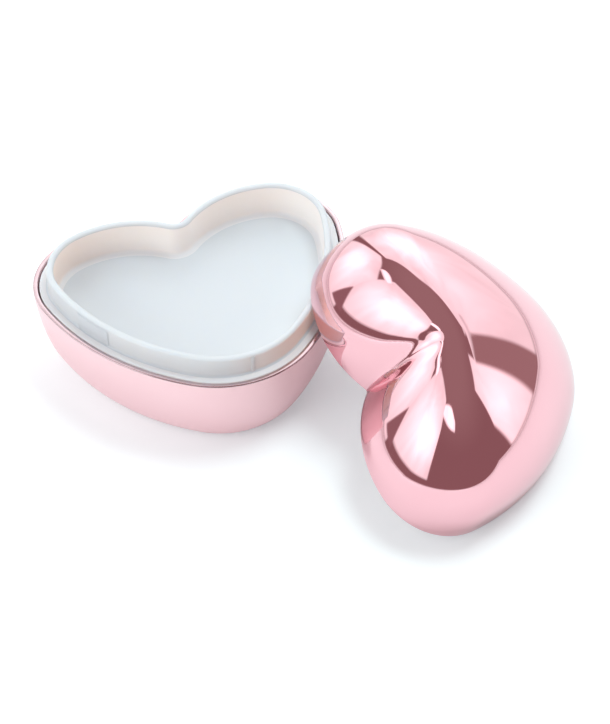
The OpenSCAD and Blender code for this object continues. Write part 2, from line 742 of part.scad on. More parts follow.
module worm_wheel() {
    color("gold") on_cylinder(wheel_x, governor_y) difference() {
        linear_extrude(wheel_w) gear2d(worm_teeth, worm_module, 0.3, 0);
        translate([0, 0, -through]) cylinder(r = worm_pivot_r + press_fit, h = wheel_w + 2 * through);
    }
}

module governor_worm() {
    worm_l = worm_turns * worm_pitch;
    at = [worm_x, worm_y, 0];
    color("silver") union() {
        at_bed(drum_axis_z - worm_l / 2) translate(at)
            linear_extrude(worm_l, twist = -360 * worm_turns, slices = 10 * worm_turns, segments = 10, $fn = 10)
            translate([worm_eccentric, 0]) circle(r = worm_core_r);
        at_bed(bed_t - 0.5) translate(at) cylinder(r = worm_pivot_r, h = frame_top + 1 - bed_t + 0.5);
    }
}

module air_brake() {
    brake_h = 2.6;
    color("gainsboro") at_bed(bed_t + 0.5) translate([worm_x, worm_y, 0]) difference() {
        union() {
            cylinder(r = 0.9, h = brake_h);
            for (s = [0, 180]) rotate([0, 0, s]) translate([0, -0.15, 0]) cube([fly_r, 0.3, brake_h]);
        }
        translate([0, 0, -through]) cylinder(r = worm_pivot_r + press_fit, h = brake_h + 2 * through);
    }
}

base_shell();
tray();
lid_shell();
lid_seat_ring();
bottom_cover();
cover_screw(0);  // cover_screw_1
cover_screw(1);  // cover_screw_2
cover_screw(2);  // cover_screw_3
cover_screw(3);  // cover_screw_4
bedplate();
bed_screw(0);  // bed_screw_1
bed_screw(1);  // bed_screw_2
bed_screw(2);  // bed_screw_3
comb();
comb_leads();
comb_screw(0);  // comb_screw_1
comb_screw(1);  // comb_screw_2
winding_key();
winding_arbor();
spring_barrel();
barrel_cap();
mainspring();
pinned_cylinder();
cylinder_arbor();
drive_gear();
governor_gear();
governor_frame();
governor_screw();
governor_pinion();
worm_wheel();
governor_worm();
air_brake();
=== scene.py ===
import json
import math

import bpy
import bmesh
from mathutils import Matrix, Vector


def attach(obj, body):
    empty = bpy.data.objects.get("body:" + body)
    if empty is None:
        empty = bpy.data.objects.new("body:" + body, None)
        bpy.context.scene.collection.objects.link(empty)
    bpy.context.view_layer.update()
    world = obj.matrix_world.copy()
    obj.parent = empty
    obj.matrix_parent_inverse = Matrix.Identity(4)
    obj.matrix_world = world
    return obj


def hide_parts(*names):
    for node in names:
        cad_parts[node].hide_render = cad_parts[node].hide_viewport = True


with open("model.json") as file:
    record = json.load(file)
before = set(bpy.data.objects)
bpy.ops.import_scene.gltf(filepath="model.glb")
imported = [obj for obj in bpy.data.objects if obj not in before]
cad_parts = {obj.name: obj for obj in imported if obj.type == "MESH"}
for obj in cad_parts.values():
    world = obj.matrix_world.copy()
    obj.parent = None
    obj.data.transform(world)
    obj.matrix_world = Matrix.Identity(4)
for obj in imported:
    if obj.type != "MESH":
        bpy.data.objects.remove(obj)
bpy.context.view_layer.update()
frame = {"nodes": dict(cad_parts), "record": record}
NODES = frame["nodes"]

MM = 0.001

# ---------------------------------------------------------------- dimensions
# The same sizes as in the part's source, in millimetres
HEART_W = 120.0
HEART_L = 96.6
RIM_OUT = 5.6
LOBE_R = 21.4
TIP_R = 33.0
LOBE = Vector((HEART_W / 2 - LOBE_R - RIM_OUT, 21.0))
TIP = Vector((0.0, LOBE.y + LOBE_R + 2 * RIM_OUT - HEART_L + TIP_R))
SHOULDER_ANGLE = math.radians(75)
SHOULDER_R = 39.5
CLEFT_R = 4.9
CLEFT_LEAST = 1.2
FLANK_R = 88.0
STEPS = (10, 22, 40, 34, 16)
CAD_STEPS = (3, 6, 11, 9, 4)

BASE_H = 36.0
WALL = 1.8
RIM_IN = RIM_OUT - WALL
BOWL_INSET = 13.0
BOWL_UPPER = 1.65
BOWL_LOWER = 2.2
FLOOR_T = 2.0
COVER_T = 2.0
COVER_EDGE = RIM_OUT - BOWL_INSET - 5.0
LEDGE_EDGE = COVER_EDGE - 2.5
SCREW_R = 1.0
RUN_FIT = 0.05

COLLAR_H = 7.6
COLLAR_WALL = 2.6
TRAY_Z = BASE_H + COLLAR_H - 14.2
TRAY_FLOOR_T = 1.6
TRAY_FILLET = 2.0
FLANGE_Z = BASE_H - 0.4
FLANGE_T = 1.6
FLANGE_EDGE = RIM_IN - 0.5
LIP_R = 1.0
FOOT_FILLET = 0.9
RIB_W = 1.7
RIB_OUT = 0.4
PAD_W = 15.5
PAD_OUT = RIB_OUT * 0.9
PAD_PLACE = 0.35

LID_H = 41.2
LID_OUT = 4.2
LID_IN = LID_OUT - WALL
SKIRT_H = 1.8
SIDE_LOW, SIDE_HIGH = 2.85, 2.25
FRONT_LOW, FRONT_HIGH = 1.5, 1.95
DOME_Y = 16.7
CLEFT_FADE = 9.0
CREASE_DEPTH = 1.7
CREASE_W = 3.6
CREASE_FULL = 0.6
CREASE_FADES = 0.82
CREASE_BACK_R = 20.0
DOME_LEAST = 0.004
LID_TURN = math.radians(89)
LID_TIP_LINE = math.radians(33.2)
LID_REST = 0.92
REST_GAP = 0.13
LID_AT = Vector((LOBE.x + LOBE_R + RIM_OUT + 11.5, TIP.y - TIP_R - RIM_OUT - 12.1))
RING_PLAY = 0.25
RING_WALL = 1.4
RING_H = 3.6
RING_LIFT = 0.3

POST_R = 3.2
POST_IN = -9.0
POST_ANGLES = (55, -48)
BOSS_R = 3.0
BOSS_IN = LEDGE_EDGE + 0.5
BOSS_ANGLES = (20, -55)
BOSS_H = 8.0
PEG_R = 1.5
PEG_H = 6.0
PEG_TIP = 0.5
PEG_TIP_H = 0.6

# Rounded edges of the visual pieces, the soft ends of the collar's pads, and how solids join:
# sunk into one another by SINK, and turned ones hollow along their axis
BASE_EDGE = 0.45
TRAY_EDGE = 0.3
TRAY_CORNER = 1.0
LID_EDGE = 0.4
RING_EDGE = 0.25
PAD_EDGE = 0.35
PAD_END = 0.4
PAD_BACK = -0.5
PAD_TOP = 0.4
SINK = 0.01
AXIS_R = 0.3
PEG_AXIS_R = 0.2
# Rows of the tray's faces, counted from its floor, that get a lighter copy of the plastic: painted
# light on the inner walls and flange
INNER_WALL_ROWS = (0, 8)
FLANGE_ROWS = (27, 31)
BOWL_STEPS = 56
DOME_STEPS = 72


# ---------------------------------------------------------------- heart outline
def polar(r, angle):
    return r * Vector((math.cos(angle), math.sin(angle)))


def angle_of(v):
    return math.atan2(v.y, v.x)


def arc(centre, r, start, end, steps, first=1):
    return [centre + polar(r, start + (end - start) * i / steps) for i in range(first, steps + 1)]


def flank_arc():
    """Centre of the long flank's arc, and the angles where it meets lobe and tip."""
    to_tip = TIP - LOBE
    at_lobe, at_tip = FLANK_R - LOBE_R, FLANK_R - TIP_R
    along = (at_lobe ** 2 - at_tip ** 2 + to_tip.length_squared) / (2 * to_tip.length)
    up = math.sqrt(at_lobe ** 2 - along ** 2)
    u = to_tip.normalized()
    centre = LOBE + along * u + up * Vector((u.y, -u.x))
    return centre, angle_of(LOBE - centre), angle_of(TIP - centre)


def heart(off, soften=0.0, steps=STEPS):
    """The heart outline moved outwards by off, clockwise from the cleft; soften eases the cleft."""
    shoulder = LOBE - polar(SHOULDER_R - LOBE_R, SHOULDER_ANGLE)
    flank, lobe_end, tip_start = flank_arc()
    fillet = max(CLEFT_R - off, CLEFT_LEAST) + soften
    cleft = Vector((0, shoulder.y + math.sqrt((SHOULDER_R + off + fillet) ** 2 - shoulder.x ** 2)))
    turn = angle_of(cleft - shoulder)
    half = arc(cleft, fillet, -math.pi / 2, turn - math.pi, steps[0], 0)
    half += arc(shoulder, SHOULDER_R + off, turn, SHOULDER_ANGLE, steps[1])
    half += arc(LOBE, LOBE_R + off, SHOULDER_ANGLE, lobe_end, steps[2])
    half += arc(flank, FLANK_R + off, lobe_end, tip_start, steps[3])
    half += arc(TIP, TIP_R + off, tip_start, -math.pi / 2, steps[4])
    return half + [Vector((-p.x, p.y)) for p in half[-2:0:-1]]


def ring(outline, z):
    return [Vector((p.x, p.y, z)) for p in outline]


def quarter(centre, r, start, end, steps=5):
    """Points (off, z) round a corner arc, angles in degrees from outwards to up."""
    out = []
    for i in range(steps + 1):
        a = math.radians(start + (end - start) * i / steps)
        out.append((centre[0] + r * math.cos(a), centre[1] + r * math.sin(a)))
    return out


def heart_rings(profile):
    return [ring(heart(off), z) for off, z in profile]


# ---------------------------------------------------------------- mesh helpers
def new_object(name, bm, sharp=35.0):
    bmesh.ops.recalc_face_normals(bm, faces=bm.faces)
    for f in bm.faces:
        f.smooth = True
    mesh = bpy.data.meshes.new(name)
    bm.to_mesh(mesh)
    bm.free()
    if sharp:
        mesh.set_sharp_from_angle(angle=math.radians(sharp))
    obj = bpy.data.objects.new(name, mesh)
    bpy.context.collection.objects.link(obj)
    return obj


def add_loft(bm, rings, closed=False):
    """A solid through a stack of rings, capped at both ends or joined end to end."""
    rows = [[bm.verts.new(p * MM) for p in r] for r in rings]
    n = len(rows[0])
    pairs = list(zip(rows, rows[1:] + rows[:1])) if closed else list(zip(rows, rows[1:]))
    for a, b in pairs:
        for j in range(n):
            k = (j + 1) % n
            bm.faces.new((a[j], a[k], b[k], b[j]))
    if not closed:
        bm.faces.new(rows[0][::-1])
        bm.faces.new(rows[-1])


def add_turned(bm, centre, profile, steps=40):
    """A turned solid: profile is a list of (radius, z), joined end to end round a hole."""
    rings = [[Vector((centre[0] + r * math.cos(2 * math.pi * i / steps),
                      centre[1] + r * math.sin(2 * math.pi * i / steps), z)) for i in range(steps)]
             for r, z in profile]
    add_loft(bm, rings, closed=True)


def finish_piece(obj, body, slot, materials, *nodes):
    for name in materials:
        obj.data.materials.append(MATERIALS[name])
    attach(obj, body)
    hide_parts(*nodes)
    return obj


# ---------------------------------------------------------------- base shell
def mirrored(points):
    return [Vector((s * p.x, p.y)) for s in (-1, 1) for p in points]


def four_places(inset, angles):
    """One place in each lobe and two by the tip, inset from the outline."""
    return mirrored([LOBE + polar(LOBE_R + inset, math.radians(angles[0])),
                     TIP + polar(TIP_R + inset, math.radians(angles[1]))])


def boss_places():
    return four_places(BOSS_IN, BOSS_ANGLES)


def post_places():
    return four_places(POST_IN, POST_ANGLES)


def bowl_point(a, out, z0, h):
    return (out - BOWL_INSET * (1 - max(math.cos(a), 0) ** (2 / BOWL_LOWER)),
            z0 - h * math.sin(a) ** (2 / BOWL_UPPER))


def paint_rows(bm, columns, first, last=None):
    """Gives a loft's faces from one row up to another, or to its end, the piece's second material."""
    bm.faces.ensure_lookup_table()
    for f in bm.faces[first * columns:last and last * columns]:
        f.material_index = 1


def bowl_side(out, height, steps):
    points = [bowl_point(math.pi / 2 * i / BOWL_STEPS, out, BASE_H, height) for i in steps]
    return [p for p in points if p[1] < BASE_H - BASE_EDGE]


def make_base_shell():
    outside = bowl_side(RIM_OUT, BASE_H, range(1, BOWL_STEPS + 1))
    inside = bowl_side(RIM_IN, BASE_H - FLOOR_T, range(BOWL_STEPS, 0, -1))
    brim = BASE_H - BASE_EDGE
    top = (quarter((RIM_IN + BASE_EDGE, brim), BASE_EDGE, 180, 90)
           + quarter((RIM_OUT - BASE_EDGE, brim), BASE_EDGE, 90, 0))
    ledge = [(COVER_EDGE, 0), (COVER_EDGE, COVER_T),
             (LEDGE_EDGE, COVER_T), (LEDGE_EDGE, COVER_T + FLOOR_T),
             (COVER_EDGE + WALL, COVER_T + FLOOR_T), (COVER_EDGE + WALL, FLOOR_T)]
    bm = bmesh.new()
    add_loft(bm, heart_rings(top + outside + ledge + inside), closed=True)
    # The rim's rows get a darker, greyer copy of the pink: a painted dark reflection
    paint_rows(bm, len(heart(0)), 0, len(top))
    hole, low, high = SCREW_R + RUN_FIT, COVER_T + SINK, COVER_T + BOSS_H
    for p in boss_places():
        add_turned(bm, p, [(hole, low), (BOSS_R, low), (BOSS_R, high), (AXIS_R, high),
                           (AXIS_R, high - 1), (hole, high - 1)])
    hole, low, high = PEG_R + RUN_FIT, FLOOR_T + SINK, TRAY_Z - TRAY_FLOOR_T
    for p in post_places():
        add_turned(bm, p, [(AXIS_R, low), (POST_R, low), (POST_R, high), (hole, high),
                           (hole, high - PEG_H), (AXIS_R, high - PEG_H)])
    return new_object("base_bowl", bm)


# ---------------------------------------------------------------- tray
def make_tray():
    wall = -COLLAR_WALL
    top = BASE_H + COLLAR_H
    under = TRAY_Z - TRAY_FLOOR_T
    r, corner = TRAY_EDGE, TRAY_CORNER
    profile = (quarter((wall - TRAY_FILLET, TRAY_Z + TRAY_FILLET), TRAY_FILLET, 270, 360, 7)
               + quarter((wall + LIP_R, top - LIP_R), LIP_R, 180, 90, 6)
               + quarter((-LIP_R, top - LIP_R), LIP_R, 90, 0, 6)
               + quarter((FOOT_FILLET, FLANGE_Z + FOOT_FILLET), FOOT_FILLET, 180, 270, 5)
               + quarter((FLANGE_EDGE - r, FLANGE_Z - r), r, 90, 0, 3)
               + quarter((FLANGE_EDGE - r, FLANGE_Z - FLANGE_T + r), r, 0, -90, 3)
               + [(0, FLANGE_Z - FLANGE_T)]
               + quarter((-corner, under + corner), corner, 0, -90, 4))
    bm = bmesh.new()
    add_loft(bm, heart_rings(profile))
    # The inner walls and the flange get the lighter copy of the plastic: painted light
    for rows in (INNER_WALL_ROWS, FLANGE_ROWS):
        paint_rows(bm, len(heart(0)), *rows)
    root, tip = under + 1, under + 1 - PEG_H
    for p in post_places():
        add_turned(bm, p, [(PEG_AXIS_R, root), (PEG_R, root), (PEG_R, tip + PEG_TIP_H),
                           (PEG_R - PEG_TIP, tip), (PEG_AXIS_R, tip)])
    add_tip_rib(bm)
    add_flank_pads(bm)
    return new_object("tray_moulding", bm)


def strip(bm, centre, r, start, end, out, steps):
    """A raised pad up the collar, along an arc of the outline, that fades out at both ends."""
    low, high = FLANGE_Z - SINK, BASE_H + COLLAR_H - LIP_R
    columns = []
    width = r * (end - start)
    ends = [0.0, PAD_END / 2 / width, PAD_END / width]
    for t in ends + [i / steps for i in range(1, steps)] + [1 - t for t in ends[::-1]]:
        rise = out * min(1.0, min(t, 1 - t) * width / PAD_END)
        a = start + (end - start) * t
        skin = [(PAD_BACK, low), (rise, low), (rise, high - PAD_EDGE), (rise * PAD_TOP, high),
                (PAD_BACK, high)]
        columns.append([Vector((*(centre + polar(r + o, a)), z)) for o, z in skin])
    add_loft(bm, columns)


def add_tip_rib(bm):
    half = RIB_W / 2 / TIP_R
    strip(bm, TIP, TIP_R, -math.pi / 2 - half, -math.pi / 2 + half, RIB_OUT, 3)


def add_flank_pads(bm):
    centre, lobe_end, tip_start = flank_arc()
    middle = lobe_end + (tip_start - lobe_end) * PAD_PLACE
    half = PAD_W / 2 / FLANK_R
    for s in (1, -1):
        a, b = middle - half, middle + half
        if s < 0:
            a, b = math.pi - b, math.pi - a
        strip(bm, Vector((s * centre.x, centre.y)), FLANK_R, a, b, PAD_OUT, 24)


# ---------------------------------------------------------------- lid
def lid_turn():
    return (Matrix.Rotation(LID_TIP_LINE, 3, "Z") @ Matrix.Rotation(lid_lean(), 3, "X")
            @ Matrix.Rotation(LID_TURN - LID_TIP_LINE, 3, "Z"))


def uphill():
    a = LID_TURN - LID_TIP_LINE
    return [p.x * math.sin(a) + p.y * math.cos(a) for p in heart(LID_OUT, steps=CAD_STEPS)]


def lid_lean():
    return math.asin((BASE_H + COLLAR_H + REST_GAP) / (LID_REST * (max(uphill()) - min(uphill()))))


def lid_matrix():
    low = -min(uphill()) * math.sin(lid_lean()) * MM
    return Matrix.Translation((LID_AT.x * MM, LID_AT.y * MM, low)) @ lid_turn().to_4x4()


def smooth(x, low, high):
    t = min(max((x - low) / (high - low), 0.0), 1.0)
    return t * t * (3 - 2 * t)


def creased(p, u):
    """The crease between the lobes, which runs on from the cleft almost to the top of the dome."""
    along = smooth(u, 0.0, CREASE_FULL) * (1 - smooth(u, CREASE_FADES, 1.0))
    depth = CREASE_DEPTH * along * math.exp(-(p.x / CREASE_W) ** 2)
    if p.y < DOME_Y or depth < 0.001:
        return p
    out, up = (p.y - DOME_Y) / CREASE_BACK_R ** 2, p.z / LID_H ** 2
    return p - Vector((0, out, up)).normalized() * depth


def dome_ring(out, h, u):
    kx = max((1 - u ** SIDE_LOW) ** (1 / SIDE_HIGH), DOME_LEAST)
    ky = max((1 - u ** FRONT_LOW) ** (1 / FRONT_HIGH), DOME_LEAST)
    z = SKIRT_H + (h - SKIRT_H) * u
    outline = heart(out, CLEFT_FADE * u / (1 - u + 0.01))
    return [creased(Vector((p.x * kx, DOME_Y + (p.y - DOME_Y) * ky, z)), u) for p in outline]


def dome_side(out, h, steps):
    return [dome_ring(out, h, math.sin(math.pi / 2 * i / DOME_STEPS)) for i in steps]


def make_lid_shell():
    edge = LID_EDGE
    outside = dome_side(LID_OUT, LID_H, range(DOME_STEPS, -1, -1))
    rim = heart_rings(quarter((LID_OUT - edge, edge), edge, 0, -90)
                      + quarter((LID_IN + edge, edge), edge, -90, -180))
    inside = dome_side(LID_IN, LID_H - WALL, range(DOME_STEPS + 1))
    bm = bmesh.new()
    add_loft(bm, outside + rim + inside)
    paint_rows(bm, len(rim[0]), len(outside) + len(rim) - 1)
    outer_cap = bm.faces[-2]
    outer_cap.material_index = 0
    bm.transform(lid_matrix())
    return new_object("lid_dome", bm, sharp=60)


def make_seat_ring():
    inner, outer, r = RING_PLAY, LID_IN - 0.02, RING_EDGE
    band = RING_PLAY + RING_WALL
    high = RING_LIFT + RING_WALL
    profile = (quarter((inner + r, RING_LIFT + r), r, 180, 270, 3)
               + quarter((outer - r, RING_LIFT + r), r, 270, 360, 3)
               + [(outer, high), (band, high)]
               + quarter((band - r, RING_H - r), r, 0, 90, 3)
               + quarter((inner + r, RING_H - r), r, 90, 180, 3))
    bm = bmesh.new()
    add_loft(bm, heart_rings(profile), closed=True)
    bm.transform(lid_matrix())
    return new_object("lid_seat", bm)


# ---------------------------------------------------------------- materials
# How far the painted peach glow on the tray's walls reaches, in metres
PAINTED_GLOW_NEAR, PAINTED_GLOW_FAR = 0.004, 0.034


def material(name):
    mat = bpy.data.materials.new(name)
    mat.use_nodes = True
    tree = mat.node_tree
    return mat, tree, tree.nodes["Principled BSDF"]


def math_node(tree, op, a, b=0.0):
    node = tree.nodes.new("ShaderNodeMath")
    node.operation = op
    for socket, value in zip(node.inputs, (a, b)):
        if isinstance(value, (int, float)):
            socket.default_value = value
        else:
            tree.links.new(value, socket)
    return node.outputs[0]


def noise(tree, scale, detail=3.0, stretch=(1, 1, 1), coords="Object", distortion=0.0):
    tex = tree.nodes.new("ShaderNodeTexNoise")
    tex.inputs["Scale"].default_value = scale
    tex.inputs["Detail"].default_value = detail
    tex.inputs["Distortion"].default_value = distortion
    where = tree.nodes.new("ShaderNodeTexCoord")
    mapping = tree.nodes.new("ShaderNodeMapping")
    mapping.inputs["Scale"].default_value = stretch
    tree.links.new(where.outputs[coords], mapping.inputs["Vector"])
    tree.links.new(mapping.outputs["Vector"], tex.inputs["Vector"])
    return tex.outputs["Fac"]


def tint(tree, source, dark, light, low=0.3, high=0.7):
    """A colour that drifts from dark to light as the source rises from low to high."""
    node = tree.nodes.new("ShaderNodeValToRGB")
    tree.links.new(source, node.inputs["Fac"])
    for stop, at, colour in zip(node.color_ramp.elements, (low, high), (dark, light)):
        stop.position = at
        stop.color = (*colour, 1.0)
    return node.outputs["Color"]


def value_range(tree, source, low, high, low_in=0.0, high_in=1.0):
    node = tree.nodes.new("ShaderNodeMapRange")
    tree.links.new(source, node.inputs["Value"])
    node.inputs["From Min"].default_value = low_in
    node.inputs["From Max"].default_value = high_in
    node.inputs["To Min"].default_value = low
    node.inputs["To Max"].default_value = high
    return node.outputs["Result"]


def mix_colours(tree, fac, a, b):
    node = tree.nodes.new("ShaderNodeMix")
    node.data_type = "RGBA"
    tree.links.new(fac, node.inputs[0])
    for socket, value in zip(node.inputs[6:8], (a, b)):
        if isinstance(value, tuple):
            socket.default_value = (*value, 1.0)
        else:
            tree.links.new(value, socket)
    return node.outputs[2]


def distance_from(tree, point):
    where = tree.nodes.new("ShaderNodeTexCoord")
    away = tree.nodes.new("ShaderNodeVectorMath")
    away.operation = "DISTANCE"
    tree.links.new(where.outputs["Object"], away.inputs[0])
    away.inputs[1].default_value = point
    return away.outputs["Value"]


def bump(tree, bsdf, source, strength, distance):
    node = tree.nodes.new("ShaderNodeBump")
    node.inputs["Strength"].default_value = strength
    node.inputs["Distance"].default_value = distance
    tree.links.new(source, node.inputs["Height"])
    tree.links.new(node.outputs["Normal"], bsdf.inputs["Normal"])


def look(tree, bsdf, colour, haze, rough_low, rough_high):
    tree.links.new(colour, bsdf.inputs["Base Color"])
    tree.links.new(value_range(tree, haze, rough_low, rough_high), bsdf.inputs["Roughness"])


def pink_metallised(name, rough):
    """Vacuum metallised plastic: pink lacquer over aluminium, a little orange peel, fine haze."""
    mat, tree, bsdf = material(name)
    colour = tint(tree, noise(tree, 30.0), (0.925, 0.535, 0.592), (0.94, 0.55, 0.607), 0.35, 0.65)
    look(tree, bsdf, colour, noise(tree, 500.0, 2.0), rough * 0.8, rough * 1.2)
    bsdf.inputs["Metallic"].default_value = 1.0
    bsdf.inputs["Coat Weight"].default_value = 0.5
    bsdf.inputs["Coat Roughness"].default_value = 0.02
    bump(tree, bsdf, noise(tree, 70.0, 1.0), 0.02, 0.0006)
    return mat


def pink_satin(name):
    """The base's softer coat: paler, with a wide sheen and fine grain."""
    mat, tree, bsdf = material(name)
    colour = tint(tree, noise(tree, 25.0), (0.925, 0.645, 0.685), (0.945, 0.67, 0.71), 0.35, 0.65)
    haze = noise(tree, 900.0, 2.0)
    look(tree, bsdf, colour, haze, 0.28, 0.4)
    bsdf.inputs["Metallic"].default_value = 0.3
    bump(tree, bsdf, haze, 0.03, 0.0002)
    return mat


def white_plastic(name, flat, upright, painted_glow_at, painted_glow_colour):
    """Slightly translucent white moulding: cool on the flat, with painted light on the upright walls,
    which take their own colours by facing, and a painted peach glow round one place. flat and upright
    are pairs of colours, dark and light."""
    mat, tree, bsdf = material(name)
    cloud = noise(tree, 14.0)
    # Painted light: the upright walls get their own colours, lighter or pinker than the flat, for the
    # light that falls on them
    wall = tint(tree, cloud, *upright, 0.35, 0.65)
    # A painted peach glow, strongest at one place and fading over a few centimetres
    glow = value_range(tree, distance_from(tree, painted_glow_at), 0.7, 0.0, PAINTED_GLOW_NEAR, PAINTED_GLOW_FAR)
    facing = tree.nodes.new("ShaderNodeNewGeometry")
    split = tree.nodes.new("ShaderNodeSeparateXYZ")
    tree.links.new(facing.outputs["Normal"], split.inputs[0])
    # Each face's facing picks the flat or the upright colours: painted shading by how the faces turn
    steepness = value_range(tree, math_node(tree, "ABSOLUTE", split.outputs["Z"]), 1.0, 0.0, 0.1, 0.8)
    colour = mix_colours(tree, steepness, tint(tree, cloud, *flat), mix_colours(tree, glow, wall, painted_glow_colour))
    look(tree, bsdf, colour, noise(tree, 300.0), 0.26, 0.36)
    bsdf.inputs["Subsurface Weight"].default_value = 0.25
    bsdf.inputs["Subsurface Radius"].default_value = (0.005, 0.004, 0.003)
    bsdf.inputs["Subsurface Scale"].default_value = 1.0
    bump(tree, bsdf, noise(tree, 900.0, 2.0), 0.03, 0.0002)
    return mat


def metal(name, dark, light, rough, scale=120.0, stretch=(1, 1, 1)):
    mat, tree, bsdf = material(name)
    grain = noise(tree, scale, 6.0, stretch)
    look(tree, bsdf, tint(tree, grain, dark, light), grain, rough * 0.7, rough * 1.4)
    bsdf.inputs["Metallic"].default_value = 1.0
    bump(tree, bsdf, grain, 0.08, 0.0002)
    return mat


def plastic(name, dark, light, rough, scale=200.0):
    mat, tree, bsdf = material(name)
    grain = noise(tree, scale, 4.0)
    look(tree, bsdf, tint(tree, grain, dark, light), grain, rough * 0.85, rough * 1.15)
    bump(tree, bsdf, grain, 0.06, 0.0002)
    return mat


MATERIALS = {
    "pink_metallised": pink_metallised("pink_metallised", 0.2),
    "base_satin": pink_satin("base_satin"),
    # The base's rim: a darker, greyer copy of the pink plating, a painted dark reflection of the room
    # above
    "rim_painted_reflection": metal("rim_painted_reflection", (0.60, 0.46, 0.49), (0.68, 0.53, 0.56), 0.15, 300),
    "lid_mirror": pink_metallised("lid_mirror", 0.035),
    # The tray's plastic: its upright colours and the peach glow on the collar by the lid are painted
    # light
    "white_plastic": white_plastic("white_plastic",
                                   ((0.62, 0.67, 0.71), (0.645, 0.685, 0.72)),
                                   ((0.62, 0.655, 0.68), (0.66, 0.655, 0.665)),
                                   (0.024, -0.034, 0.040), (0.93, 0.70, 0.59)),
    # A lighter copy of the tray's plastic for its inner walls and flange: painted light, with a painted
    # peach glow on the inner left wall
    "painted_light_plastic": white_plastic("painted_light_plastic",
                                ((0.76, 0.775, 0.79), (0.79, 0.79, 0.80)),
                                ((0.91, 0.87, 0.845), (0.93, 0.85, 0.80)),
                                (-0.046, 0.018, 0.038), (0.95, 0.74, 0.62)),
    "cover_plastic": plastic("cover_plastic", (0.74, 0.52, 0.55), (0.78, 0.56, 0.59), 0.5),
    "zinc": metal("zinc", (0.36, 0.37, 0.39), (0.46, 0.47, 0.49), 0.5, 300),
    "comb_steel": metal("comb_steel", (0.55, 0.56, 0.58), (0.68, 0.69, 0.71), 0.25, 200, (1, 12, 1)),
    "lead": metal("lead", (0.16, 0.17, 0.18), (0.24, 0.25, 0.26), 0.6, 300),
    "brass_key": metal("brass_key", (0.66, 0.46, 0.16), (0.78, 0.58, 0.24), 0.28, 150),
    "brass": metal("brass", (0.68, 0.50, 0.20), (0.82, 0.64, 0.30), 0.25, 250),
    "arbor_steel": metal("arbor_steel", (0.5, 0.51, 0.53), (0.66, 0.67, 0.69), 0.25, 400),
    "spring_steel": metal("spring_steel", (0.16, 0.19, 0.26), (0.24, 0.27, 0.34), 0.35, 300),
    "fly_plastic": plastic("fly_plastic", (0.72, 0.72, 0.68), (0.80, 0.80, 0.76), 0.5),
    "screw_steel": metal("screw_steel", (0.5, 0.51, 0.53), (0.68, 0.69, 0.70), 0.3, 300),
}


def dress_cad_nodes():
    for part in frame["record"]["subparts"]:
        obj = NODES[part["node"]]
        mat = MATERIALS[part["material_slot"]]
        for slot in obj.material_slots:
            slot.material = mat


# ---------------------------------------------------------------- eased edges
# CAD solids that are seen closely, with the radius that their edges get
EASED = {
    "bottom_cover": 0.3,
    "winding_key": 0.3,
    "bedplate": 0.25,
    "governor_frame": 0.15,
    "spring_barrel": 0.15,
    "barrel_cap": 0.1,
    "air_brake": 0.06,
    **{f"cover_screw_{i}": 0.1 for i in range(1, 5)},
    **{f"bed_screw_{i}": 0.1 for i in range(1, 4)},
    "comb_screw_1": 0.08,
    "comb_screw_2": 0.08,
    "governor_screw": 0.06,
}
WELD = 1e-6
FLAT_ANGLE = 0.5
EASE_ANGLE = 35
SHARP_ANGLE = 50


def ease_edges(node, radius):
    """A copy of a CAD solid whose sharp edges are rounded a little, as moulded and turned parts are."""
    source = NODES[node]
    slot = next(p["material_slot"] for p in frame["record"]["subparts"] if p["node"] == node)
    body = next(b for b, nodes in frame["record"]["behaviour"]["bodies"].items() if node in nodes)
    bm = bmesh.new()
    bm.from_mesh(source.data)
    bm.transform(source.matrix_world)
    bmesh.ops.remove_doubles(bm, verts=bm.verts, dist=WELD)
    bmesh.ops.dissolve_limit(bm, angle_limit=math.radians(FLAT_ANGLE), verts=bm.verts, edges=bm.edges)
    obj = new_object(node + "_eased", bm, sharp=0)
    bevel = obj.modifiers.new("ease", "BEVEL")
    bevel.width = radius * MM
    bevel.segments = 2
    bevel.limit_method = "ANGLE"
    bevel.angle_limit = math.radians(EASE_ANGLE)
    with bpy.context.temp_override(object=obj, active_object=obj, selected_objects=[obj]):
        bpy.ops.object.modifier_apply(modifier="ease")
    obj.data.set_sharp_from_angle(angle=math.radians(SHARP_ANGLE))
    return finish_piece(obj, body, slot, [slot], node)


# ---------------------------------------------------------------- floor
FLOOR_SIZE = 4.0
PAPER = (0.85, 0.87, 0.88)
# The glow's cyan tint shows only where the paper is shaded, and there it paints the shadow lighter and
# blue-grey
PAPER_GLOW = (0.75, 1.0, 1.03)
# The paper's glow near the object and far from it, how far off (m) it changes, and the mirrors' share
GLOW_NEAR, GLOW_FAR = 0.22, 0.8
FAR_FROM, FAR_TO = 0.35, 1.0
MIRRORED_GLOW = 0.02


def lift_for_camera(tree, bsdf):
    """Adds a little white to the paper where the camera or a mirror looks at it, none to its light."""
    path = tree.nodes.new("ShaderNodeLightPath").outputs
    mirror = math_node(tree, "MAXIMUM", path["Is Glossy Ray"], path["Is Transmission Ray"])
    away = distance_from(tree, (0.0, 0.0, 0.0))
    seen = value_range(tree, away, GLOW_NEAR, GLOW_FAR, FAR_FROM, FAR_TO)
    strength = math_node(tree, "ADD", math_node(tree, "MULTIPLY", path["Is Camera Ray"], seen),
                         math_node(tree, "MULTIPLY", mirror, MIRRORED_GLOW))
    glow = tree.nodes.new("ShaderNodeEmission")
    glow.inputs["Color"].default_value = (*PAPER_GLOW, 1)
    tree.links.new(strength, glow.inputs["Strength"])
    both = tree.nodes.new("ShaderNodeAddShader")
    tree.links.new(bsdf.outputs[0], both.inputs[0])
    tree.links.new(glow.outputs[0], both.inputs[1])
    tree.links.new(both.outputs[0], tree.nodes["Material Output"].inputs["Surface"])


